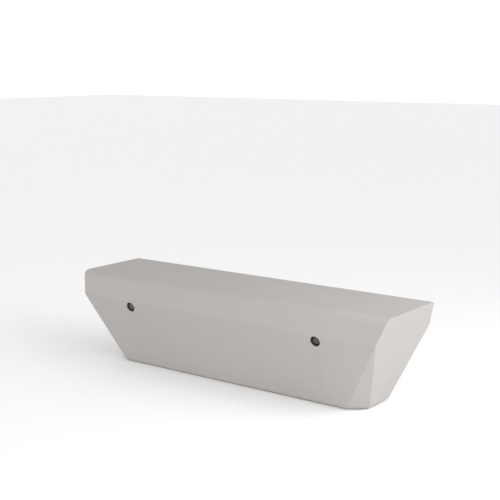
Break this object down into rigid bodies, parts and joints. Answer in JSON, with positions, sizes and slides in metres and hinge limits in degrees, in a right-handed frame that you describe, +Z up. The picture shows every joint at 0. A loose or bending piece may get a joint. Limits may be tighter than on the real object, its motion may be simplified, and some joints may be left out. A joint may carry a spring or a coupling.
{
  "type": "backless bench",
  "caption": "Backless street bench: a cast-stone block with a flat seat, a band that leans out to a widest line, undercut faces and ends, corner facets and bolted lifting points.",
  "frame": {"origin": "middle of the flat base, on the ground", "axes": "+X along the seat, +Y to the back, +Z up"},
  "size_m": [1.8, 0.488, 0.46],
  "materials": {
    "stone": "smooth pale warm-grey cast stone, matt, faintly mottled",
    "rebar_steel": "plain reinforcing steel, embedded",
    "zinc_steel": "dull zinc plate",
    "bolt_steel": "weathered dark zinc plate",
    "dark_liner": "matt dark plastic"
  },
  "bodies": {
    "root": {"bench_body": "stone", "cage_links": "rebar_steel", "cage_top_bars": "rebar_steel", "cage_bottom_bars": "rebar_steel", "cage_side_bars": "rebar_steel", "left_end_hairpins": "rebar_steel", "right_end_hairpins": "rebar_steel", "front_left_lifting_socket": "zinc_steel", "front_left_cross_bar": "rebar_steel", "front_left_recess_ring": "dark_liner", "front_left_washer": "zinc_steel", "front_left_closing_bolt": "bolt_steel", "back_left_lifting_socket": "zinc_steel", "back_left_cross_bar": "rebar_steel", "back_left_recess_ring": "dark_liner", "back_left_washer": "zinc_steel", "back_left_closing_bolt": "bolt_steel", "front_right_lifting_socket": "zinc_steel", "front_right_cross_bar": "rebar_steel", "front_right_recess_ring": "dark_liner", "front_right_washer": "zinc_steel", "front_right_closing_bolt": "bolt_steel", "back_right_lifting_socket": "zinc_steel", "back_right_cross_bar": "rebar_steel", "back_right_recess_ring": "dark_liner", "back_right_washer": "zinc_steel", "back_right_closing_bolt": "bolt_steel", "left_anchor_socket": "zinc_steel", "left_anchor_bar": "rebar_steel", "right_anchor_socket": "zinc_steel", "right_anchor_bar": "rebar_steel"}
  },
  "joints": []
}
